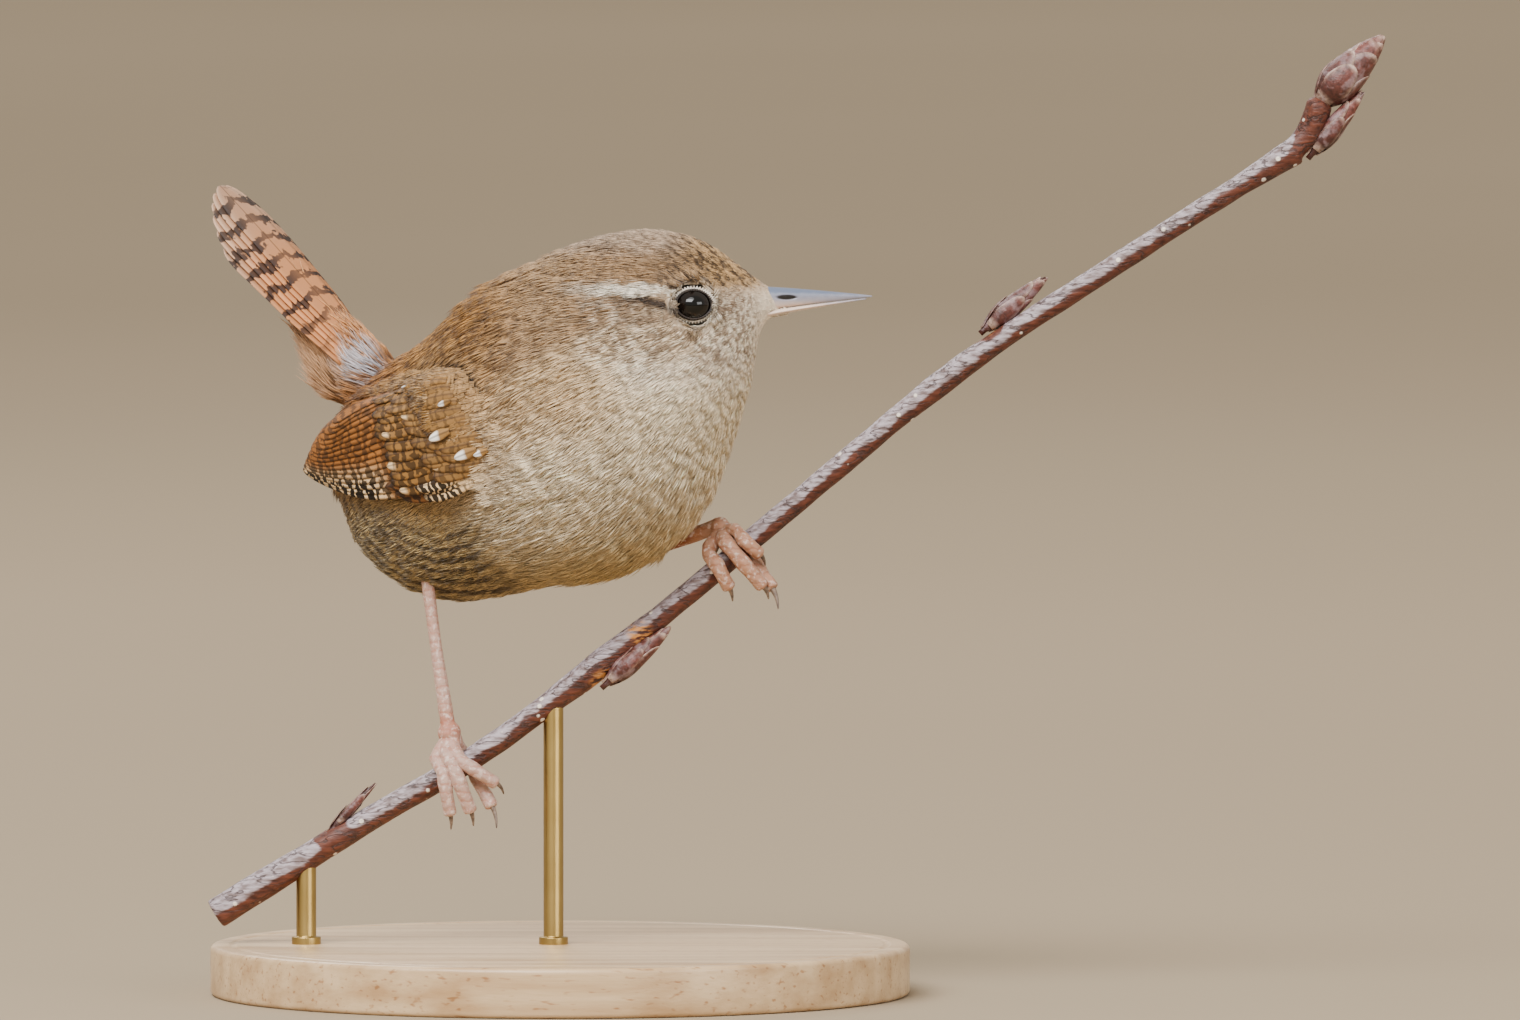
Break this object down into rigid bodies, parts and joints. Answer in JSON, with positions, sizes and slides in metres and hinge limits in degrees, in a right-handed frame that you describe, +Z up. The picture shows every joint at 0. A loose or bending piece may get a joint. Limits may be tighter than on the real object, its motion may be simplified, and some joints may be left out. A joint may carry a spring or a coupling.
{
  "type": "perched wren",
  "caption": "Life-size small brown songbird with a cocked tail, gripping a sloping budded twig held over a round base by short rods.",
  "frame": {"origin": "centre of the round base's flat underside", "axes": "+Z up, +X to the right in the picture, the way the bill points, and -Y towards the camera, which sees the bird's right side"},
  "size_m": [0.142, 0.084, 0.1153],
  "materials": {
    "plumage": "matte",
    "wing_feathers": "matte",
    "tail_feathers": "matte",
    "bill": "satin",
    "eye": "polished",
    "leg_skin": "satin",
    "claw": "satin",
    "bark": "matte",
    "bud_scale": "satin",
    "stand_wood": "satin",
    "stand_metal": "satin"
  },
  "bodies": {
    "root": {"head": "plumage", "neck": "plumage", "torso": "plumage", "wing_right": "wing_feathers", "wing_left": "wing_feathers", "tail": "tail_feathers", "bill_upper": "bill", "bill_lower": "bill", "eye_right": "eye", "eye_left": "eye", "leg_right": "leg_skin", "foot_right": "leg_skin", "claw_right_inner": "claw", "claw_right_middle": "claw", "claw_right_outer": "claw", "claw_right_hind": "claw", "leg_left": "leg_skin", "foot_left": "leg_skin", "claw_left_inner": "claw", "claw_left_middle": "claw", "claw_left_outer": "claw", "claw_left_hind": "claw", "perch_twig": "bark", "perch_bud_low": "bud_scale", "perch_bud_under": "bud_scale", "perch_bud_middle": "bud_scale", "perch_bud_side": "bud_scale", "perch_bud_end": "bud_scale", "stand_base": "stand_wood", "stand_rod_1": "stand_metal", "stand_rod_2": "stand_metal"}
  },
  "joints": []
}
